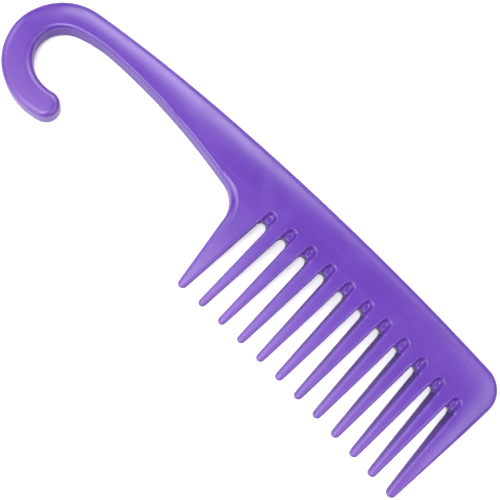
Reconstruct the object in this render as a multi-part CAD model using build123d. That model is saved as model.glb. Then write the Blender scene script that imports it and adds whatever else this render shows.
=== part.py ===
from build123d import *
import os
from math import atan2, cos, degrees, radians, sin, sqrt, tan

# A wide tooth comb with a hook handle: one plastic moulding, modelled as its named regions.
# It lies flat on its back. X runs from the hook to the free end of the blade, the teeth
# point to -Y, and Z is the thickness. All lengths are millimetres, all angles are degrees.

# Moulding
thickness = 9.0             # hook, handle and blade are equally deep, so the comb lies flat
half_thickness = thickness / 2

# Back edge: a chain of tangent arcs, from the free end of the blade round to the hook's tip
spine_peak = Vector(71.6, 33.45)    # highest point of the blade's long, nearly straight back
spine_radius = 1264.0
spine_start_angle = 88.29           # where the spine meets the rounded corner of the blade
spine_end_angle = 94.53             # where the blade's back turns into the handle's back
handle_back_radius = 707.0
handle_back_end_angle = 100.49
crook_radius = 23.0                 # outside of the hook, upper part
crook_end_angle = 174.7
hook_base_radius = 25.65            # outside of the hook, lower part
hook_tip_radius = 5.75
corner_radius = 11.0
blade_end_angle = -5.8              # outward direction of the blade's slanting free end

# Front edge: tangent arcs again, from the first tooth along the handle and round the hook
bend_centre = Vector(-20.44, -4.12)     # the finger bend between the handle and the first tooth
bend_radius = 12.65
bend_start_angle = 10.3
bend_end_angle = 80.2
palm_radius = 272.9
palm_end_angle = 94.3
throat_radius = 50.7
throat_end_angle = 112.6
seat_radius = 12.1                      # the round seat that hangs on a rail or a hook
seat_end_angle = 216.9
lower_seat_radius = 15.45

# Teeth and slots
tooth_count = 12
tooth_pitch = 10.25
first_tooth_x = -0.3
root_y = 8.0                # level where the teeth leave the blade
root_width = 6.0            # width of a tooth at that level
tooth_side_draft = 2.05     # each side of a tooth leans in by this much
tip_half_thickness = 1.75
tip_peak_y = -31.2          # shortest tooth; the tips follow an arc concentric with the spine
tip_corner_radius = 1.5
slot_top_peak = Vector(62.5, 12.0)      # the slots end on a gentle arch
slot_top_radius = 520.0
recess_length = 4.2         # shallow recess above each slot, on both faces
recess_depth = 2.0

# Rounding of the edges: width across the face, then depth down the side
spine_rounding = (10.5, 3.3)
hook_rounding = 3.9
edge_rounding = 1.2         # teeth, slots, finger bend and the front edge by the blade
root_end_rounding = (6.0, 2.4)  # the free end's rounding where the last tooth leaves the blade
tip_end_rounding = (0.8, 0.8)   # and where it runs out at that tooth's tip

# Where the regions meet
hook_seam_x = -88.0
blade_seam_x = -20.0
handle_stations = 9

margin = 40.0               # how far cutting tools reach past the moulding
overlap = 1.0               # how far a cutting tool starts outside the face that it cuts
hair = 0.01                 # slack when edges are picked by where they lie


def heading(angle):
    """Unit vector in the comb's plane."""
    return Vector(cos(radians(angle)), sin(radians(angle)))


def angle_of(vector):
    return degrees(atan2(vector.Y, vector.X)) % 360


def next_centre(centre, radius, next_radius, angle):
    """Centre of the arc that carries on smoothly from another at the given angle."""
    return centre + heading(angle) * (radius - next_radius)


def meeting_point(centre_a, reach_a, centre_b, reach_b):
    """The lower right point at the given distances from two centres."""
    gap = centre_b - centre_a
    along = (reach_a**2 - reach_b**2 + gap.length**2) / (2 * gap.length)
    across = sqrt(reach_a**2 - along**2)
    unit = gap.normalized()
    return centre_a + unit * along + Vector(unit.Y, -unit.X) * across


# Centres of the arcs
spine_centre = spine_peak - Vector(0, spine_radius)
corner_centre = next_centre(spine_centre, spine_radius, corner_radius, spine_start_angle)
handle_back_centre = next_centre(spine_centre, spine_radius, handle_back_radius, spine_end_angle)
crook_centre = next_centre(
    handle_back_centre, handle_back_radius, crook_radius, handle_back_end_angle
)
hook_base_centre = next_centre(crook_centre, crook_radius, hook_base_radius, crook_end_angle)
palm_centre = next_centre(bend_centre, bend_radius, palm_radius, bend_end_angle)
throat_centre = next_centre(palm_centre, palm_radius, throat_radius, palm_end_angle)
seat_centre = next_centre(throat_centre, throat_radius, seat_radius, throat_end_angle)
lower_seat_centre = next_centre(seat_centre, seat_radius, lower_seat_radius, seat_end_angle)
hook_tip_centre = meeting_point(
    hook_base_centre,
    hook_base_radius - hook_tip_radius,
    lower_seat_centre,
    lower_seat_radius + hook_tip_radius,
)
tip_arc_radius = tip_peak_y - spine_centre.Y


def arc(centre, radius, start, end):
    return CenterArc(centre, radius, start, end - start)


def point_below(start, direction):
    """Where a line from a point meets the arc of the tooth tips."""
    offset = start - spine_centre
    along = offset.dot(direction)
    reach = -along - sqrt(along**2 - offset.length**2 + tip_arc_radius**2)
    return start + direction * reach


def outline():
    """The comb's whole outline with the slots still closed."""
    base_end = angle_of(hook_tip_centre - hook_base_centre)
    seat_end = angle_of(hook_tip_centre - lower_seat_centre)
    end_top = corner_centre + heading(blade_end_angle) * corner_radius
    end_foot = point_below(end_top, heading(blade_end_angle - 90))
    first_top = bend_centre + heading(bend_start_angle) * bend_radius
    first_foot = point_below(first_top, heading(bend_start_angle - 90))
    foot_start = angle_of(first_foot - spine_centre)
    foot_end = angle_of(end_foot - spine_centre)
    edges = [
        arc(corner_centre, corner_radius, blade_end_angle, spine_start_angle),
        arc(spine_centre, spine_radius, spine_start_angle, spine_end_angle),
        arc(handle_back_centre, handle_back_radius, spine_end_angle, handle_back_end_angle),
        arc(crook_centre, crook_radius, handle_back_end_angle, crook_end_angle),
        arc(hook_base_centre, hook_base_radius, crook_end_angle, base_end),
        arc(hook_tip_centre, hook_tip_radius, base_end, seat_end + 180),
        arc(lower_seat_centre, lower_seat_radius, seat_end, seat_end_angle),
        arc(seat_centre, seat_radius, seat_end_angle, throat_end_angle),
        arc(throat_centre, throat_radius, throat_end_angle, palm_end_angle),
        arc(palm_centre, palm_radius, palm_end_angle, bend_end_angle),
        arc(bend_centre, bend_radius, bend_end_angle, bend_start_angle),
        Line(first_top, first_foot),
        arc(spine_centre, tip_arc_radius, foot_start, foot_end),
        Line(end_foot, end_top),
    ]
    return Face(Wire(edges))


def tooth_x(number):
    return first_tooth_x + (number - 1) * tooth_pitch


def slot_shape(number, rise=0.0):
    """A slot with straight flared sides and a round closed end."""
    x = tooth_x(number) + tooth_pitch / 2
    arch_y = slot_top_peak.Y - slot_top_radius
    top = arch_y + sqrt(slot_top_radius**2 - (x - slot_top_peak.X) ** 2) + rise
    half_gap = (tooth_pitch - root_width) / 2
    slope = tan(radians(tooth_side_draft))
    lean = 1 / cos(radians(tooth_side_draft))
    radius = (half_gap - (top - root_y) * slope) / (lean - slope)
    centre = Vector(x, top - radius)
    side = heading(tooth_side_draft) * radius
    foot = 2 * margin
    spread = radius * lean + foot * slope
    flare = make_face(
        Polyline(
            centre + side,
            centre + Vector(-side.X, side.Y),
            centre + Vector(-spread, -foot),
            centre + Vector(spread, -foot),
            close=True,
        )
    )
    return Pos(centre.X, centre.Y) * Circle(radius) + flare


def window(low_x, high_x, low_y, high_y):
    width = high_x - low_x
    height = high_y - low_y
    return Pos((low_x + high_x) / 2, (low_y + high_y) / 2) * Rectangle(width, height)


def slab(face):
    return extrude(face, amount=half_thickness, both=True)


def both_faces(front):
    return front + mirror(front, about=Plane.XY)


def rounding_face(edge, size, level=half_thickness):
    """What a rounding takes off: outside a quarter ellipse, at a distance along the plane's X."""
    width, depth = size
    wall = level - depth
    return make_face(
        EllipticalCenterArc((edge - width, wall), width, depth, 0, arc_size=90)
        + Polyline(
            (edge - width, level),
            (edge - width, half_thickness + overlap),
            (edge + overlap, half_thickness + overlap),
            (edge + overlap, wall),
            (edge, wall),
        )
    )


def turned_rounding(centre, radius, start, end):
    """Rounds the back edge of both faces along one arc of it."""
    plane = Plane(origin=centre, x_dir=heading(start), z_dir=heading(start - 90))
    section = plane * rounding_face(radius, spine_rounding)
    return both_faces(revolve(section, Axis(centre, (0, 0, 1)), end - start))


def end_rounding(start, end):
    """Rounds the blade's free end between two sections: (foot point, size, level)."""
    sections = []
    for point, size, level in (start, end):
        plane = Plane(
            origin=point, x_dir=heading(blade_end_angle), z_dir=heading(blade_end_angle - 90)
        )
        sections.append(plane * rounding_face(0, size, level))
    return both_faces(loft(sections, ruled=True))


def face_edges(solid, low_x, high_x, low_y, high_y):
    """Edges of the front and back faces whose middle lies in a window of the plan."""
    return [
        edge
        for edge in solid.edges()
        if abs((edge @ 0.5).Z) > tip_half_thickness - hair
        and abs((edge @ 0).Z - (edge @ 1).Z) < half_thickness - tip_half_thickness + hair
        and low_x < (edge @ 0.5).X < high_x
        and low_y < (edge @ 0.5).Y < high_y
    ]


def make_plan():
    plan = outline()
    for number in range(1, tooth_count):
        plan = plan - slot_shape(number)
    return plan


def root_point_at_end():
    """Where the blade's free end crosses the level of the tooth roots."""
    end_top = corner_centre + heading(blade_end_angle) * corner_radius
    drop = end_top.Y - root_y
    return Vector(end_top.X - drop * tan(radians(-blade_end_angle)), root_y)


def tip_point_at_end():
    """Where the blade's free end, carried on down the last tooth, meets the arc of the tips."""
    end_top = corner_centre + heading(blade_end_angle) * corner_radius
    return point_below(end_top, heading(blade_end_angle - 90))


def cut_recesses(blade):
    """Shallow pocket in both faces, carrying each slot on past its closed end."""
    depth_plane = Plane.XY.offset(half_thickness - recess_depth)
    blade_end_x = corner_centre.X + corner_radius
    above_root = window(blade_seam_x, blade_end_x, root_y - overlap, spine_peak.Y)
    for number in range(1, tooth_count):
        pocket = slot_shape(number, recess_length) & above_root
        blade = blade - both_faces(extrude(depth_plane * pocket, amount=2 * recess_depth))
    return blade


def make_blade(plan):
    high = corner_centre.X + 2 * corner_radius
    blade = slab(plan & window(blade_seam_x, high, root_y, spine_peak.Y + overlap))
    end_top = corner_centre + heading(blade_end_angle) * corner_radius
    blade = blade - turned_rounding(spine_centre, spine_radius, spine_start_angle, spine_end_angle)
    blade = blade - turned_rounding(corner_centre, corner_radius, blade_end_angle, spine_start_angle)
    blade = blade - end_rounding(
        (end_top, spine_rounding, half_thickness),
        (root_point_at_end(), root_end_rounding, half_thickness),
    )
    blade = cut_recesses(blade)
    last_slot = corner_centre.X + tooth_pitch / 2
    top = slot_top_peak.Y + recess_length + overlap
    edges = face_edges(blade, blade_seam_x + hair, last_slot, root_y + hair, top)
    level = [edge for edge in edges if abs((edge @ 0.5).Z) > half_thickness - hair]
    return fillet(level, edge_rounding)


def make_hook(plan):
    far = crook_centre.X - 2 * crook_radius
    beyond_tip = hook_tip_centre.X + 2 * hook_tip_radius
    above = window(far, hook_seam_x, 0, margin)
    below = window(far, beyond_tip, -margin, 0)
    hook = slab(plan & (above + below))
    edges = face_edges(hook, far, beyond_tip, -margin, margin)
    edges = [edge for edge in edges if edge.geom_type == GeomType.CIRCLE]
    return fillet(edges, hook_rounding)


def back_edge_y(x):
    seam_x = spine_centre.X + spine_radius * cos(radians(spine_end_angle))
    if x > seam_x:
        return spine_centre.Y + sqrt(spine_radius**2 - (x - spine_centre.X) ** 2)
    offset = x - handle_back_centre.X
    return handle_back_centre.Y + sqrt(handle_back_radius**2 - offset**2)


def front_edge_y(x):
    seam_x = palm_centre.X + palm_radius * cos(radians(palm_end_angle))
    if x > seam_x:
        return palm_centre.Y + sqrt(palm_radius**2 - (x - palm_centre.X) ** 2)
    return throat_centre.Y + sqrt(throat_radius**2 - (x - throat_centre.X) ** 2)


def blend(start, end, share):
    return start + (end - start) * share


def handle_section(share):
    """Section across the handle, from the round hook (0) to the crowned blade (1)."""
    x = blend(hook_seam_x, blade_seam_x, share)
    front = front_edge_y(x)
    back = back_edge_y(x)
    front_round = blend(hook_rounding, edge_rounding, share)
    back_width = blend(hook_rounding, spine_rounding[0], share)
    back_depth = blend(hook_rounding, spine_rounding[1], share)
    top = half_thickness
    front_wall = top - front_round
    back_wall = top - back_depth
    upper = [
        Line((front, 0), (front, front_wall)),
        EllipticalCenterArc(
            (front + front_round, front_wall), front_round, front_round, 180, arc_size=-90
        ),
        Line((front + front_round, top), (back - back_width, top)),
        EllipticalCenterArc((back - back_width, back_wall), back_width, back_depth, 90, arc_size=-90),
        Line((back, back_wall), (back, 0)),
    ]
    lower = [edge.mirror(Plane.XZ) for edge in upper]
    plane = Plane(origin=(x, 0, 0), x_dir=(0, 1, 0), z_dir=(1, 0, 0))
    return plane * Face(Wire(upper + lower))


def make_handle():
    last = handle_stations - 1
    return loft([handle_section(step / last) for step in range(handle_stations)])


def wedge():
    """Thins the teeth from the full thickness at their roots to their tips."""
    beyond = tip_peak_y - margin
    slope = (half_thickness - tip_half_thickness) / (root_y - tip_peak_y)
    low = half_thickness - slope * (root_y - beyond)
    profile = make_face(
        Polyline(
            (root_y, half_thickness),
            (root_y, half_thickness + overlap),
            (beyond, half_thickness + overlap),
            (beyond, low),
            close=True,
        )
    )
    plane = Plane(origin=(-margin, 0, 0), x_dir=(0, 1, 0), z_dir=(1, 0, 0))
    return both_faces(extrude(plane * profile, amount=6 * margin))


def make_tooth(plan, number):
    low = tooth_x(number) - tooth_pitch / 2
    high = tooth_x(number) + tooth_pitch / 2
    if number == 1:
        low = blade_seam_x
    if number == tooth_count:
        high = corner_centre.X + 2 * corner_radius
    face = plan & window(low, high, tip_peak_y - margin, root_y)
    tips = [corner for corner in face.vertices() if corner.Y < tip_peak_y + overlap]
    face = fillet(tips, tip_corner_radius)
    tooth = slab(face) - wedge()
    edges = face_edges(tooth, low, high, tip_peak_y - margin, root_y - hair)
    tooth = fillet(edges, edge_rounding)
    if number == tooth_count:
        tooth = tooth - end_rounding(
            (root_point_at_end(), root_end_rounding, half_thickness),
            (tip_point_at_end(), tip_end_rounding, tip_half_thickness),
        )
    return tooth


plan = make_plan()
nodes = {"hook": make_hook(plan), "handle": make_handle(), "blade": make_blade(plan)}
for number in range(1, tooth_count + 1):
    nodes[f"tooth_{number:02d}"] = make_tooth(plan, number)

os.makedirs("parts", exist_ok=True)
box = Compound(list(nodes.values())).bounding_box()
place = Pos(-box.center().X, -box.center().Y, half_thickness)
for name, solid in nodes.items():
    export_step(place * solid, f"parts/{name}.step")
print("size", box.size, "moved by", place.position)
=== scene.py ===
from math import atan2, ceil, cos, degrees, pi, radians, sin, sqrt, tan
import bpy
import numpy as np
from mathutils import Matrix, Vector
from mathutils.geometry import delaunay_2d_cdt


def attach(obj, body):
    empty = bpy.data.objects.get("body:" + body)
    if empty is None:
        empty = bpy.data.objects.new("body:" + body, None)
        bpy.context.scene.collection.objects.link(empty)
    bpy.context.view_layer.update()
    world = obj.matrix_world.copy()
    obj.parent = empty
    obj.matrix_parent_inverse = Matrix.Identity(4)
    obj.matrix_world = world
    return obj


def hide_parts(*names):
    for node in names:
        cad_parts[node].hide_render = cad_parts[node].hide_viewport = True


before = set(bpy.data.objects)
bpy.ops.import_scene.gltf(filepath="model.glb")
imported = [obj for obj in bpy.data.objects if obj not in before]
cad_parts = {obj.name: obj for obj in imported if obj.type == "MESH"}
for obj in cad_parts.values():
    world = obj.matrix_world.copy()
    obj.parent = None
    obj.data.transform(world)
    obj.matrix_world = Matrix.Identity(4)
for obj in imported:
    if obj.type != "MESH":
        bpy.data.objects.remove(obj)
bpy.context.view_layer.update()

# The comb's form, in millimetres, in the driving frame of the CAD part: X from the hook to the
# blade's free end, the teeth to -Y, and Z measured from the middle of the thickness.
HALF = 4.5

# Radii of the outline's arcs, and where they are centred when no other arc decides that.
SPINE_PEAK = (71.6, 33.45)
SPINE = 1264.0
HANDLE_BACK = 707.0
CROOK = 23.0
HOOK_BASE = 25.65
HOOK_TIP = 5.75
CORNER = 11.0
BEND_CENTRE = (-20.44, -4.12)
BEND = 12.65
PALM = 272.9
THROAT = 50.7
SEAT = 12.1
LOWER_SEAT = 15.45

# Directions, in degrees, at which one arc hands over to the next.
END_ANGLE = -5.8
CORNER_TO_SPINE = 88.29
SPINE_TO_HANDLE = 94.53
HANDLE_TO_CROOK = 100.49
CROOK_TO_BASE = 174.7
LOWER_TO_SEAT = 216.9
SEAT_TO_THROAT = 112.6
THROAT_TO_PALM = 94.3
PALM_TO_BEND = 80.2
BEND_TO_TOOTH = 10.3

# Teeth and the slots between them.
TEETH = 12
PITCH = 10.25
FIRST_X = -0.3
ROOT_Y = 8.0
ROOT_WIDTH = 6.0
DRAFT = 2.05
TIP_HALF = 1.75
TIP_PEAK_Y = -31.2
ARCH_PEAK = (62.5, 12.0)
ARCH = 520.0
WEDGE_BLEND = 4.0

# The recess past each slot: its length and depth, the run of its wall, and its rims' roundings.
RECESS = 4.2
RECESS_DEPTH = 2.0
RECESS_WALL = 1.0
RECESS_RIM = 0.7
WEB_RIM = 0.5

# Other roundings and the slanted border: widths across the face, and how deep or steep they are.
EDGE = 1.2
SLOT_EDGE_WIDTH = 1.6
SLOT_EDGE_DEPTH = 0.9
HOOK_EDGE_WIDTH = 3.4
HOOK_FRONT_DEPTH = 2.5
HOOK_BACK_DEPTH = 2.3
HOOK_FOOT_WIDTH = 1.9
HOOK_FOOT_DEPTH = 1.8
BEVEL = 2.8
BEVEL_SLOPE = 0.42
BEVEL_BLEND = 0.9

# Seams between the CAD's regions.
HOOK_SEAM_X = -88.0
BLADE_SEAM_X = -20.0

# Which of the finishes a face of the skin takes.
FACE, WALL, FLANK = 0, 1, 2


def unit(angle):
    return np.array([cos(radians(angle)), sin(radians(angle))])


def angle_of(v):
    return degrees(atan2(v[1], v[0])) % 360


def next_centre(centre, radius, next_radius, angle):
    return centre + unit(angle) * (radius - next_radius)


def meeting_point(a, reach_a, b, reach_b):
    gap = b - a
    size = np.linalg.norm(gap)
    along = (reach_a**2 - reach_b**2 + size**2) / (2 * size)
    across = sqrt(reach_a**2 - along**2)
    return a + gap / size * along + np.array([gap[1], -gap[0]]) / size * across


spine_c = np.array(SPINE_PEAK) - np.array([0, SPINE])
corner_c = next_centre(spine_c, SPINE, CORNER, CORNER_TO_SPINE)
handle_c = next_centre(spine_c, SPINE, HANDLE_BACK, SPINE_TO_HANDLE)
crook_c = next_centre(handle_c, HANDLE_BACK, CROOK, HANDLE_TO_CROOK)
base_c = next_centre(crook_c, CROOK, HOOK_BASE, CROOK_TO_BASE)
bend_c = np.array(BEND_CENTRE)
palm_c = next_centre(bend_c, BEND, PALM, PALM_TO_BEND)
throat_c = next_centre(palm_c, PALM, THROAT, THROAT_TO_PALM)
seat_c = next_centre(throat_c, THROAT, SEAT, SEAT_TO_THROAT)
lower_c = next_centre(seat_c, SEAT, LOWER_SEAT, LOWER_TO_SEAT)
tip_c = meeting_point(base_c, HOOK_BASE - HOOK_TIP, lower_c, LOWER_SEAT + HOOK_TIP)
TIP_ARC = TIP_PEAK_Y - spine_c[1]
SLOPE = tan(radians(DRAFT))
LEAN = 1 / cos(radians(DRAFT))


class Arc:
    """A circular edge. The comb is inside it when it turns left, outside it when it turns right."""

    def __init__(self, centre, radius, start, end, step=1.0):
        self.centre, self.radius, self.start, self.end = centre, radius, start, end
        self.side = 1.0 if end > start else -1.0
        self.step = step

    def sample(self):
        count = max(4, ceil(radians(abs(self.end - self.start)) * self.radius / self.step))
        angles = np.radians(np.linspace(self.start, self.end, count + 1))
        rays = np.stack([np.cos(angles), np.sin(angles)], 1)
        return self.centre + rays * self.radius, rays * self.side

    def distance(self, p):
        v = p - self.centre
        middle = (self.start + self.end) / 2
        turn = (np.degrees(np.arctan2(v[:, 1], v[:, 0])) - middle + 180) % 360 - 180
        ring = np.abs(np.hypot(v[:, 0], v[:, 1]) - self.radius)
        ends = [self.centre + unit(a) * self.radius for a in (self.start, self.end)]
        away = np.minimum(*[np.hypot(*(p - e).T) for e in ends])
        return np.where(np.abs(turn) <= abs(self.end - self.start) / 2, ring, away)


class Straight:
    def __init__(self, start, end, step=1.6):
        self.start, self.end, self.step = np.array(start), np.array(end), step
        run = self.end - self.start
        self.length = np.linalg.norm(run)
        self.way = run / self.length

    def sample(self):
        count = max(2, ceil(self.length / self.step))
        share = np.linspace(0, 1, count + 1)[:, None]
        normal = np.array([self.way[1], -self.way[0]])
        return self.start + (self.end - self.start) * share, np.tile(normal, (count + 1, 1))

    def distance(self, p):
        along = np.clip((p - self.start) @ self.way, 0, self.length)
        return np.hypot(*(p - self.start - along[:, None] * self.way).T)


class Slot:
    """A slot between two teeth: a round closed end and straight flared sides."""

    def __init__(self, number, rise=0.0):
        x = FIRST_X + (number - 1) * PITCH + PITCH / 2
        top = ARCH_PEAK[1] - ARCH + sqrt(ARCH**2 - (x - ARCH_PEAK[0]) ** 2) + rise
        gap = (PITCH - ROOT_WIDTH) / 2
        self.radius = (gap - (top - ROOT_Y) * SLOPE) / (LEAN - SLOPE)
        self.centre = np.array([x, top - self.radius])

    def side(self, sign):
        """Upper point of one side and the way down it."""
        out = unit(DRAFT) * self.radius
        down = np.array([sign * sin(radians(DRAFT)), -cos(radians(DRAFT))])
        return self.centre + np.array([sign * out[0], out[1]]), down

    def distance(self, p):
        """Distance from the slot's edge, below zero inside the slot."""
        q = p - self.centre
        q = np.stack([np.abs(q[:, 0]), q[:, 1]], 1)
        above = q @ np.array([-sin(radians(DRAFT)), cos(radians(DRAFT))]) >= 0
        return np.where(above, np.hypot(q[:, 0], q[:, 1]), q @ unit(DRAFT)) - self.radius


slots = [Slot(n) for n in range(1, TEETH)]
pockets = [Slot(n, RECESS) for n in range(1, TEETH)]


def tooth_tip(left, left_way, right, right_way):
    """The circle that ends a tooth: it touches both sides and the arc of the tips."""
    inward = np.array([[-left_way[1], left_way[0]], [right_way[1], -right_way[0]]])
    reach = np.array([left @ inward[0], right @ inward[1]])
    low, high = 0.1, 6.0
    for _ in range(60):
        r = (low + high) / 2
        centre = np.linalg.solve(inward, reach + r)
        short = np.linalg.norm(centre - spine_c) - TIP_ARC - r < 0
        low, high = (r, high) if short else (low, r)
    return Arc(centre, r, angle_of(-inward[0]), angle_of(-inward[1]), step=0.3)


def comb_edges():
    """Every edge in order round the comb, in two groups: the rolled-off back and the front."""
    base_end = angle_of(tip_c - base_c)
    seat_end = angle_of(tip_c - lower_c)
    end_top = corner_c + unit(END_ANGLE) * CORNER
    back = [
        Arc(corner_c, CORNER, END_ANGLE, CORNER_TO_SPINE, 0.8),
        Arc(spine_c, SPINE, CORNER_TO_SPINE, SPINE_TO_HANDLE, 1.5),
        Arc(handle_c, HANDLE_BACK, SPINE_TO_HANDLE, HANDLE_TO_CROOK, 1.2),
        Arc(crook_c, CROOK, HANDLE_TO_CROOK, CROOK_TO_BASE, 0.8),
        Arc(base_c, HOOK_BASE, CROOK_TO_BASE, base_end, 0.8),
        Arc(tip_c, HOOK_TIP, base_end, seat_end + 180, 0.5),
    ]
    front = [
        Arc(lower_c, LOWER_SEAT, seat_end, LOWER_TO_SEAT, 0.7),
        Arc(seat_c, SEAT, LOWER_TO_SEAT, SEAT_TO_THROAT, 0.7),
        Arc(throat_c, THROAT, SEAT_TO_THROAT, THROAT_TO_PALM, 0.8),
        Arc(palm_c, PALM, THROAT_TO_PALM, PALM_TO_BEND, 1.0),
        Arc(bend_c, BEND, PALM_TO_BEND, BEND_TO_TOOTH, 0.6),
    ]
    left, left_way = bend_c + unit(BEND_TO_TOOTH) * BEND, unit(BEND_TO_TOOTH - 90)
    for number in range(1, TEETH + 1):
        if number < TEETH:
            right, right_way = slots[number - 1].side(-1)
        else:
            right, right_way = end_top, unit(END_ANGLE - 90)
        tip = tooth_tip(left, left_way, right, right_way)
        foot, heel = (tip.centre + unit(angle) * tip.radius for angle in (tip.start, tip.end))
        front += [Straight(left, foot), tip]
        if number == TEETH:
            return back, front, Straight(heel, end_top)
        slot = slots[number - 1]
        front += [Straight(heel, right), Arc(slot.centre, slot.radius, 180 - DRAFT, DRAFT, 0.3)]
        left, left_way = slot.side(1)


back_edges, front_edges, free_end = comb_edges()
every_edge = back_edges + front_edges + [free_end]
bend_edges = front_edges[2:6]


def is_slot_end(edge):
    return isinstance(edge, Arc) and any(edge.centre is slot.centre for slot in slots)


# Edges with the front's rounding: the hook's inside, the handle's front, the outside of the first
# tooth, and the tips of the teeth and the hook.
before_slots = 6
outer_front = [edge for edge in front_edges if not is_slot_end(edge)]
tooth_tips = [edge for edge in outer_front[before_slots:] if isinstance(edge, Arc)]
outer_front = outer_front[:before_slots] + tooth_tips + back_edges[-1:]


def nearest(edges, p):
    return np.min([edge.distance(p) for edge in edges], axis=0)


def ease(t):
    t = np.clip(t, 0, 1)
    return t * t * (3 - 2 * t)


def ramp(value, start, end):
    """Eases from 0 to 1 as a value goes from its start to its end."""
    return ease((value - start) / (end - start))


def mix(a, b, t):
    return a + (b - a) * t


def roll(distance, width, depth):
    """How far an elliptical rounding drops below the face, at a distance from the edge."""
    t = np.clip((width - distance) / width, 0, 1)
    return depth * (1 - np.sqrt(np.maximum(1 - t * t, 0)))


# The back edge is a gentle crown and a tighter rounding outside it. Each row holds the place along
# the comb, the crown's width and depth, and the rounding's width and depth.
BACK_STATIONS = np.array([
    (-120, 9.5, 3.1, 1.4, 0.7),
    (-94, 10.0, 3.0, 1.6, 0.8),
    (-75, 12.0, 2.9, 2.0, 0.9),
    (-50, 18.0, 3.8, 1.5, 0.3),
    (-25, 19.0, 3.9, 1.3, 0.3),
    (0, 17.0, 3.4, 1.6, 0.6),
    (40, 15.0, 2.9, 1.8, 0.9),
    (80, 12.0, 2.3, 2.0, 1.3),
])


def back_drop(p, distance):
    """How far the face falls away to the back edge, the hook's outside and the free end."""
    x, y = p.T
    crown_width, crown, edge_width, edge = (
        np.interp(x, BACK_STATIONS[:, 0], column) for column in BACK_STATIONS.T[1:]
    )
    # Down the hook's outside the crown gives way to a round edge, which tightens again at the foot.
    base = np.where(x < -80, ramp(y, 6, -8), 0)
    foot = ramp(y, -12, -24)
    crown = crown * (1 - 0.9 * base)
    edge_width = mix(edge_width, mix(HOOK_EDGE_WIDTH, HOOK_FOOT_WIDTH, foot), base)
    edge = mix(edge, mix(HOOK_BACK_DEPTH, HOOK_FOOT_DEPTH, foot), base)
    # Down the free end the crown narrows to the tooth's root and is gone at its tip.
    shrink = np.where(x > 100, np.clip((22 - y) / (22 - ROOT_Y), 0, 1), 0)
    fade = np.where(x > 100, np.clip((ROOT_Y - y) / (ROOT_Y - TIP_PEAK_Y), 0, 1), 0)
    crown_width, crown = crown_width - 4 * shrink, crown * (1 - fade)
    edge_width, edge = mix(edge_width, 1.2, fade), mix(edge - 0.7 * shrink, 1.1, fade)
    return roll(distance, crown_width, crown) + roll(distance, edge_width, edge)


def bevel_drop(p):
    """The bend and the outside of the first tooth have a broad slanted border inside their edge."""
    start = ramp(p[:, 0], -32, -10)
    width = start * (BEVEL - 1.2 * np.clip(-p[:, 1] / 30, 0, 1))
    inward = np.maximum(width - nearest(bend_edges, p), 0)
    soft = inward**2 / (2 * BEVEL_BLEND)
    return BEVEL_SLOPE * np.where(inward > BEVEL_BLEND, inward - BEVEL_BLEND / 2, soft)


def half_height(p):
    """Half the comb's thickness at points of its plan."""
    x, y = p.T
    slope = (HALF - TIP_HALF) / (ROOT_Y - TIP_PEAK_Y) * ramp(x, -45, -20)
    t = np.clip(ROOT_Y - y, -WEDGE_BLEND, None)
    fade = (t + WEDGE_BLEND) ** 2 / (4 * WEDGE_BLEND)
    top = HALF - slope * np.where(t > WEDGE_BLEND, t, fade)
    reach = np.min([pocket.distance(p) for pocket in pockets], axis=0)
    gap = np.min([slot.distance(p) for slot in slots], axis=0)
    front = nearest(outer_front, p)
    back = np.minimum(nearest(back_edges[:-1], p), free_end.distance(p))
    low = np.where(x < -76, ramp(y, 13, -11), 0)
    foot = ramp(y, -21, -29)
    edge_width = mix(EDGE, mix(HOOK_EDGE_WIDTH, HOOK_FOOT_WIDTH, foot), low)
    edge_depth = mix(EDGE, mix(HOOK_FRONT_DEPTH, HOOK_FOOT_DEPTH, foot), low)
    drop = np.maximum(back_drop(p, back), roll(front, edge_width, edge_depth) + bevel_drop(p))
    drop = np.maximum(drop, roll(np.maximum(reach, 0), RECESS_RIM, RECESS_RIM))
    drop = np.maximum(drop, roll(np.maximum(gap, 0), SLOT_EDGE_WIDTH, SLOT_EDGE_DEPTH))
    inside = ease(-reach / RECESS_WALL)
    floor = HALF - RECESS_DEPTH - roll(gap, WEB_RIM, WEB_RIM)
    return mix(top - drop, np.minimum(floor, top - drop), inside)


def trace():
    """The whole outline as one closed run of points with their outward directions."""
    points, normals = [], []
    for edge in every_edge:
        p, n = edge.sample()
        points.append(p[:-1])
        normals.append(n[:-1])
    return np.concatenate(points), np.concatenate(normals)


def crossings(points, normals, axis, level, allowed):
    """Puts a point on the outline wherever it crosses a seam between two regions."""
    out_p, out_n = [], []
    for i in range(len(points)):
        a, b = points[i], points[(i + 1) % len(points)]
        na, nb = normals[i], normals[(i + 1) % len(points)]
        out_p.append(a)
        out_n.append(na)
        if (a[axis] - level) * (b[axis] - level) >= 0:
            continue
        t = (level - a[axis]) / (b[axis] - a[axis])
        hit = mix(a, b, t)
        if allowed(hit):
            hit[axis] = level
            out_p.append(hit)
            normal = mix(na, nb, t)
            out_n.append(normal / np.linalg.norm(normal))
    return np.array(out_p), np.array(out_n)


def seam_steps(length):
    """Distances along a seam, closer together towards its ends."""
    steps = (0.15, 0.4, 0.75, 1.2, 2.0, 3.0, 4.2, 5.6, 7.2, 9.0, 11.0)
    near = [d for d in steps if d < length / 2 - 0.2]
    return sorted(set(near + [length / 2] + [length - d for d in near]))


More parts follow.
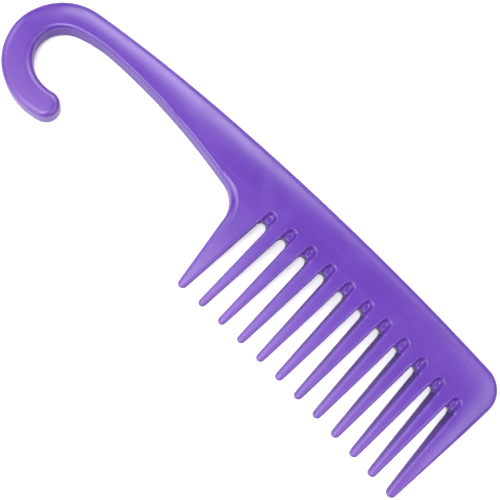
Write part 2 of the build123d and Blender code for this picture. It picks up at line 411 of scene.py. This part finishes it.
class Plan:
    """Points of the plan: the outline, the seams, and rings that follow the rounded edges."""

    RINGS = (0.1, 0.28, 0.52, 0.82, 1.18, 1.7, 2.4, 3.2, 4.2, 5.4, 6.8, 8.4, 10.2)
    OUTSIDE_POCKET = 2.5
    INSIDE_POCKET = 0.6

    def __init__(self):
        points, normals = trace()
        points, normals = crossings(points, normals, 0, HOOK_SEAM_X, lambda h: h[1] > 0)
        points, normals = crossings(points, normals, 0, BLADE_SEAM_X, lambda h: h[1] > 0)
        points, normals = crossings(points, normals, 1, ROOT_Y, lambda h: h[0] > BLADE_SEAM_X)
        self.outline, self.normals = points, normals
        self.points = [p for p in points]
        count = len(points)
        self.edges = [(i, (i + 1) % count) for i in range(count)]
        self.seams = []
        self.cells = {}
        for p in self.points:
            self.remember(p)
        self.add_seams()
        self.add_rings()
        self.add_middle()

    def remember(self, p):
        self.cells.setdefault((int(p[0] // 1), int(p[1] // 1)), []).append(p)

    def is_clear(self, p, gap):
        reach = int(gap) + 1
        cx, cy = int(p[0] // 1), int(p[1] // 1)
        for i in range(cx - reach, cx + reach + 1):
            for j in range(cy - reach, cy + reach + 1):
                for q in self.cells.get((i, j), ()):
                    if (p[0] - q[0]) ** 2 + (p[1] - q[1]) ** 2 < gap * gap:
                        return False
        return True

    def add_seam(self, first, last):
        a, b = self.outline[first], self.outline[last]
        run = np.linalg.norm(b - a)
        chain = [first]
        for d in seam_steps(run):
            p = a + (b - a) * d / run
            chain.append(len(self.points))
            self.points.append(p)
            self.remember(p)
        chain.append(last)
        self.edges += list(zip(chain[:-1], chain[1:]))
        self.seams.append(chain)

    def add_seams(self):
        def on(axis, level, allowed):
            found = [
                i for i, p in enumerate(self.outline) if abs(p[axis] - level) < 1e-9 and allowed(p)
            ]
            return sorted(found, key=lambda i: self.outline[i][1 - axis])

        for level in (HOOK_SEAM_X, BLADE_SEAM_X):
            ends = on(0, level, lambda p: p[1] > 0)
            self.add_seam(ends[0], ends[-1])
        ends = on(1, ROOT_Y, lambda p: p[0] > BLADE_SEAM_X)
        for first, last in zip(ends[::2], ends[1::2]):
            self.add_seam(first, last)

    def place(self, candidates, gap):
        for p in candidates:
            if self.is_clear(p, gap):
                self.points.append(p)
                self.remember(p)

    def add_rings(self):
        for number, d in enumerate(self.RINGS):
            thin = self.RINGS[number] - (self.RINGS[number - 1] if number else 0)
            ring = self.outline - self.normals * d
            ring = ring[nearest(every_edge, ring) > 0.96 * d]
            self.place(ring, 0.5 * thin)
            if d < self.OUTSIDE_POCKET:
                self.place(self.pocket_ring(d), 0.5 * thin)
            if d < self.INSIDE_POCKET:
                self.place(self.pocket_ring(-d), 0.5 * thin)
            if number == 0:
                self.place(self.pocket_ring(0.0), 0.04)

    def pocket_ring(self, d):
        """Points at one distance outside every recess's edge, or inside it when that is below zero."""
        angles = np.radians(np.linspace(180 - DRAFT, DRAFT, 20))
        rays = np.stack([np.cos(angles), np.sin(angles)], 1)
        found = []
        for pocket, slot in zip(pockets, slots):
            found.append(pocket.centre + rays * (pocket.radius + d))
            for sign in (-1, 1):
                top, way = pocket.side(sign)
                out = np.array([sign * cos(radians(DRAFT)), sin(radians(DRAFT))])
                run = top[1] - slot.centre[1]
                steps = np.arange(0.4, run, 0.4)[:, None]
                found.append(top + way * steps + out * d)
        found = np.concatenate(found)
        clear = np.min([slot.distance(found) for slot in slots], axis=0) > 0.06
        return found[clear]

    def add_middle(self):
        x, y = np.meshgrid(np.arange(-121, 121, 2.0), np.arange(-34, 34, 1.75))
        x = x + (np.arange(x.shape[0]) % 2)[:, None] * 1.0
        grid = np.stack([x.ravel(), y.ravel()], 1)
        grid = grid[nearest(every_edge, grid) > 1.5]
        self.place(grid[self.within(grid)], 1.3)

    def within(self, p):
        a, b = self.outline, np.roll(self.outline, -1, 0)
        x, y = p[:, :1], p[:, 1:]
        spans = (a[:, 1] > y) != (b[:, 1] > y)
        rise = np.where(b[:, 1] == a[:, 1], 1.0, b[:, 1] - a[:, 1])
        at = a[:, 0] + (y - a[:, 1]) * (b[:, 0] - a[:, 0]) / rise
        return (np.sum(spans & (x < at), axis=1) % 2) == 1


def heights(points):
    """Half thickness and front face direction at every point of the plan."""
    step = 0.02
    east, north = np.array([step, 0]), np.array([0, step])
    rise_x = (half_height(points + east) - half_height(points - east)) / (2 * step)
    rise_y = (half_height(points + north) - half_height(points - north)) / (2 * step)
    normals = np.stack([-rise_x, -rise_y, np.ones(len(points))], 1)
    return half_height(points), normals / np.linalg.norm(normals, axis=1)[:, None]


def region(p):
    """The CAD node that a point of the plan belongs to. The hook also curls back below the handle."""
    if p[0] < HOOK_SEAM_X or (p[1] < 0 and p[0] < -70):
        return "hook"
    if p[0] < BLADE_SEAM_X:
        return "handle"
    if p[1] > ROOT_Y:
        return "blade"
    return f"tooth_{min(max(round((p[0] - FIRST_X) / PITCH), 0), TEETH - 1) + 1:02d}"


class Skin:
    """One region's closed mesh: front, back, side walls and the faces where it was parted."""

    WALL_ROWS = 4

    def __init__(self):
        self.points, self.faces, self.normals, self.finishes, self.known = [], [], [], [], {}

    def vertex(self, key, place):
        if key not in self.known:
            self.known[key] = len(self.points)
            self.points.append(place)
        return self.known[key]

    def level(self, plan, i, row):
        """Vertex on the side wall, or on the front (row 0) or the back (last row)."""
        last = self.WALL_ROWS
        x, y = plan.points[i]
        z = plan.z[i] * (1 - 2 * row / last)
        return self.vertex((i, row), (x, y, z))

    def face(self, corners, directions, finish=FACE):
        self.faces.append(corners)
        self.normals += directions
        self.finishes.append(finish)

    def build(self, name):
        mesh = bpy.data.meshes.new(name)
        low, high = plan.outline.min(0), plan.outline.max(0)
        middle = np.array([*(low + high) / 2, -HALF])
        mesh.from_pydata(((np.array(self.points) - middle) / 1000).tolist(), [], self.faces)
        mesh.polygons.foreach_set("use_smooth", [True] * len(self.faces))
        mesh.polygons.foreach_set("material_index", self.finishes)
        mesh.normals_split_custom_set(self.normals)
        piece = bpy.data.objects.new(name, mesh)
        bpy.context.scene.collection.objects.link(piece)
        return piece


def add_faces(skins, plan, triangles):
    last = Skin.WALL_ROWS
    for a, b, c in triangles:
        middle = (plan.points[a] + plan.points[b] + plan.points[c]) / 3
        skin = skins[region(middle)]
        for row, order, flip in ((0, (a, b, c), 1), (last, (c, b, a), -1)):
            corners = [skin.level(plan, i, row) for i in order]
            directions = [(plan.n[i][0], plan.n[i][1], plan.n[i][2] * flip) for i in order]
            skin.face(corners, directions)


def is_flank(plan, i, middle):
    """Whether a piece of wall is inside a slot. The lower side of a tooth tip is not."""
    gap = min(slot.distance(middle[None])[0] for slot in slots)
    return gap < 0.05 and plan.normals[i][1] > -0.6


def add_walls(skins, plan):
    count = len(plan.outline)
    for i in range(count):
        j = (i + 1) % count
        middle = (plan.outline[i] + plan.outline[j]) / 2
        skin = skins[region(middle - (plan.normals[i] + plan.normals[j]) * 0.002)]
        finish = FLANK if is_flank(plan, i, middle) else WALL
        for row in range(Skin.WALL_ROWS):
            keys = ((i, row), (i, row + 1), (j, row + 1), (j, row))
            corners = [skin.level(plan, *key) for key in keys]
            skin.face(corners, [(*plan.normals[k], 0.0) for k, _ in keys], finish)


def add_cap(skin, plan, chain, direction):
    """Closes a region where it meets its neighbour."""
    last = Skin.WALL_ROWS
    loop = [(i, 0) for i in chain]
    loop += [(chain[-1], row) for row in range(1, last)]
    loop += [(i, last) for i in reversed(chain)]
    loop += [(chain[0], row) for row in range(last - 1, 0, -1)]
    if direction[0] > 0 or direction[1] < 0:
        loop.reverse()
    skin.face([skin.level(plan, *key) for key in loop], [(*direction, 0.0)] * len(loop))


def add_caps(skins, plan):
    for chain in plan.seams:
        middle = (plan.points[chain[0]] + plan.points[chain[-1]]) / 2
        across = 0 if abs(plan.points[chain[0]][0] - plan.points[chain[-1]][0]) < 1e-9 else 1
        for sign in (-1, 1):
            inner = middle.copy()
            inner[across] += sign * 0.5
            direction = [0.0, 0.0]
            direction[across] = -float(sign)
            add_cap(skins[region(inner)], plan, chain, direction)


def turn_left(points, face):
    a, b, c = (points[i] for i in face)
    left = (b[0] - a[0]) * (c[1] - a[1]) - (b[1] - a[1]) * (c[0] - a[0]) > 0
    return tuple(face) if left else tuple(reversed(face))


def build_comb():
    mesh = delaunay_2d_cdt([Vector(p) for p in plan.points], plan.edges, [], 1, 1e-6)
    plan.points = np.array([list(p) for p in mesh[0]])
    plan.z, plan.n = heights(plan.points)
    for i, normal in enumerate(plan.normals):
        plan.n[i] = (*normal, 0.0)
    names = ["hook", "handle", "blade"] + [f"tooth_{n:02d}" for n in range(1, TEETH + 1)]
    skins = {name: Skin() for name in names}
    add_faces(skins, plan, [turn_left(plan.points, face) for face in mesh[2]])
    add_walls(skins, plan)
    add_caps(skins, plan)
    return {name: skin.build("comb_" + name) for name, skin in skins.items()}


# The plastic's colours: usual, in the deeper clouds, where paler, and a painted light at the thin
# tooth tips, lighter there as if light showed through.
PIGMENT = (0.061, 0.0165, 0.202)
PIGMENT_DEEP = (0.052, 0.0130, 0.180)
PIGMENT_PALE = (0.078, 0.0260, 0.228)
# Painted light: a lighter colour toward the tooth tips, in place of light showing through the thin
# plastic.
PAINTED_TIP_GLOW = (0.112, 0.0480, 0.232)


def plastic(name, gloss, smoothest):
    """Purple plastic, coloured right through, with a satin moulded surface, light wear, and painted
    light that lightens the tooth tips.
    """
    material = bpy.data.materials.new(name)
    material.use_nodes = True
    nodes, links = material.node_tree.nodes, material.node_tree.links
    shader = nodes["Principled BSDF"]
    shader.inputs["IOR"].default_value = 1.47
    shader.inputs["Specular IOR Level"].default_value = gloss
    place = nodes.new("ShaderNodeTexCoord").outputs["Object"]

    def noise(scale, detail, stretch=(1, 1, 1)):
        mapping = nodes.new("ShaderNodeMapping")
        mapping.inputs["Scale"].default_value = stretch
        links.new(place, mapping.inputs["Vector"])
        texture = nodes.new("ShaderNodeTexNoise")
        texture.inputs["Scale"].default_value = scale
        texture.inputs["Detail"].default_value = detail
        links.new(mapping.outputs["Vector"], texture.inputs["Vector"])
        return texture.outputs["Fac"]

    def spread(value, low, high, to_low, to_high):
        change = nodes.new("ShaderNodeMapRange")
        for socket, number in zip(change.inputs[1:5], (low, high, to_low, to_high)):
            socket.default_value = number
        links.new(value, change.inputs["Value"])
        return change.outputs["Result"]

    def blend(factor, first, second):
        both = nodes.new("ShaderNodeMix")
        both.data_type = "RGBA"
        links.new(factor, both.inputs["Factor"])
        for socket, colour in ((both.inputs["A"], first), (both.inputs["B"], second)):
            if isinstance(colour, tuple):
                socket.default_value = (*colour, 1)
            else:
                links.new(colour, socket)
        return both.outputs["Result"]

    def add(first, second, operation="ADD"):
        total = nodes.new("ShaderNodeMath")
        total.operation = operation
        links.new(first, total.inputs[0])
        links.new(second, total.inputs[1])
        return total.outputs["Value"]

    # The pigment is not perfectly mixed: broad clouds, and faint streaks the way the plastic flowed.
    clouds = spread(noise(28, 3), 0.3, 0.7, 0, 1)
    streaks = spread(noise(60, 4, (0.25, 2.2, 1)), 0.42, 0.7, 0, 0.45)
    colour = blend(clouds, PIGMENT_DEEP, PIGMENT)
    colour = blend(streaks, colour, PIGMENT_PALE)

    # Painted light: the base colour is lighter toward the tooth tips, standing in for light showing
    # through the thinning wedge.
    split = nodes.new("ShaderNodeSeparateXYZ")
    links.new(place, split.inputs["Vector"])
    thin = spread(split.outputs["Y"], -0.004, -0.033, 0, 0.6)
    colour = blend(thin, colour, PAINTED_TIP_GLOW)

    # Hair and fingers have dulled small patches; hairlines run along the handle and the teeth.
    dulled = spread(noise(95, 5), 0.56, 0.72, 0, 1)
    hairlines = spread(noise(240, 2, (0.05, 2.5, 1)), 0.66, 0.72, 0, 1)
    tooth_lines = spread(noise(240, 2, (2.5, 0.06, 1)), 0.67, 0.73, 0, 1)
    hairlines = add(hairlines, spread(split.outputs["Y"], 0.006, 0.012, 0, 1), "MULTIPLY")
    scuffs = add(hairlines, tooth_lines, "MAXIMUM")
    colour = blend(spread(dulled, 0, 1, 0, 0.12), colour, PIGMENT_PALE)
    colour = blend(spread(scuffs, 0, 1, 0, 0.10), colour, PIGMENT_PALE)
    links.new(colour, shader.inputs["Base Color"])

    rough = spread(noise(45, 4), 0.3, 0.7, smoothest, smoothest + 0.05)
    rough = add(rough, spread(dulled, 0, 1, 0, 0.06))
    rough = add(rough, spread(scuffs, 0, 1, 0, 0.07))
    links.new(rough, shader.inputs["Roughness"])

    # Fine orange peel from the mould, a slow waviness of the face, and the hairlines cut into it.
    height = spread(noise(1400, 2), 0, 1, 0, 0.000006)
    height = add(height, spread(noise(110, 2), 0, 1, 0, 0.00007))
    height = add(height, spread(scuffs, 0, 1, 0, -0.000006))
    bump = nodes.new("ShaderNodeBump")
    bump.inputs["Distance"].default_value = 1.0
    links.new(height, bump.inputs["Height"])
    links.new(bump.outputs["Normal"], shader.inputs["Normal"])
    return material


def add_camera():
    data = bpy.data.cameras.new("camera")
    data.lens = 58.9
    data.sensor_width = 36
    camera = bpy.data.objects.new("camera", data)
    bpy.context.scene.collection.objects.link(camera)
    back = Vector((0.009, -0.233, 0.972)).normalized()
    right = Vector((0.697, 0.699, 0.161))
    right = (right - back * right.dot(back)).normalized()
    up = back.cross(right)
    place = Vector((0.0112, -0.0783, 0.3171)) + up * 0.0003
    camera.matrix_world = Matrix((
        (right.x, up.x, back.x, place.x),
        (right.y, up.y, back.y, place.y),
        (right.z, up.z, back.z, place.z),
        (0, 0, 0, 1),
    ))
    bpy.context.scene.camera = camera


def softbox(name, across, along, distance, size, radiance):
    """An area light that faces the comb's middle, tilted from overhead by two angles in degrees."""
    data = bpy.data.lights.new(name, "AREA")
    data.shape = "RECTANGLE"
    data.size, data.size_y = size
    data.energy = radiance * pi * size[0] * size[1]
    light = bpy.data.objects.new(name, data)
    bpy.context.scene.collection.objects.link(light)
    away = Vector((tan(radians(across)), tan(radians(along)), 1)).normalized()
    light.location = away * distance
    light.rotation_mode = "QUATERNION"
    light.rotation_quaternion = away.to_track_quat("Z", "Y")


def add_floor():
    mesh = bpy.data.meshes.new("floor")
    size = 3.0
    corners = [(-size, -size, 0), (size, -size, 0), (size, size, 0), (-size, size, 0)]
    mesh.from_pydata(corners, [], [(0, 1, 2, 3)])
    floor = bpy.data.objects.new("floor", mesh)
    bpy.context.scene.collection.objects.link(floor)
    floor.location.z = -0.0002
    material = bpy.data.materials.new("floor")
    material.use_nodes = True
    shader = material.node_tree.nodes["Principled BSDF"]
    shader.inputs["Base Color"].default_value = (0.86, 0.86, 0.86, 1)
    shader.inputs["Roughness"].default_value = 0.9
    mesh.materials.append(material)


def add_world(strength):
    world = bpy.data.worlds.new("studio")
    world.use_nodes = True
    background = world.node_tree.nodes["Background"]
    background.inputs["Color"].default_value = (1, 1, 1, 1)
    background.inputs["Strength"].default_value = strength
    bpy.context.scene.world = world


plan = Plan()
# In the order of FACE, WALL and FLANK, each with its gloss and its smoothest roughness.
finishes = (
    plastic("comb_plastic", 0.5, 0.27),
    plastic("comb_plastic_sides", 0.3, 0.38),
    plastic("comb_plastic_flanks", 0.12, 0.5),
)
for name, piece in build_comb().items():
    for finish in finishes:
        piece.data.materials.append(finish)
    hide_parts(name)
    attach(piece, "root")

add_camera()
add_floor()
add_world(0.2)
softbox("key", -5, -19, 0.9, (0.7, 0.6), 9.4)
softbox("behind_handle", -31, 46, 0.9, (0.66, 0.34), 9.0)
softbox("behind_blade", 14, 48, 0.9, (0.4, 0.2), 4.0)
softbox("left", -54, 4, 0.9, (0.3, 0.5), 5.0)
softbox("low_front", -30, -70, 0.9, (1.0, 0.34), 6.5)
softbox("right", 48, 10, 0.9, (0.3, 0.45), 5.0)
softbox("corner", 40, 36, 0.9, (0.36, 0.36), 4.5)
bpy.context.scene.view_settings.view_transform = "Standard"
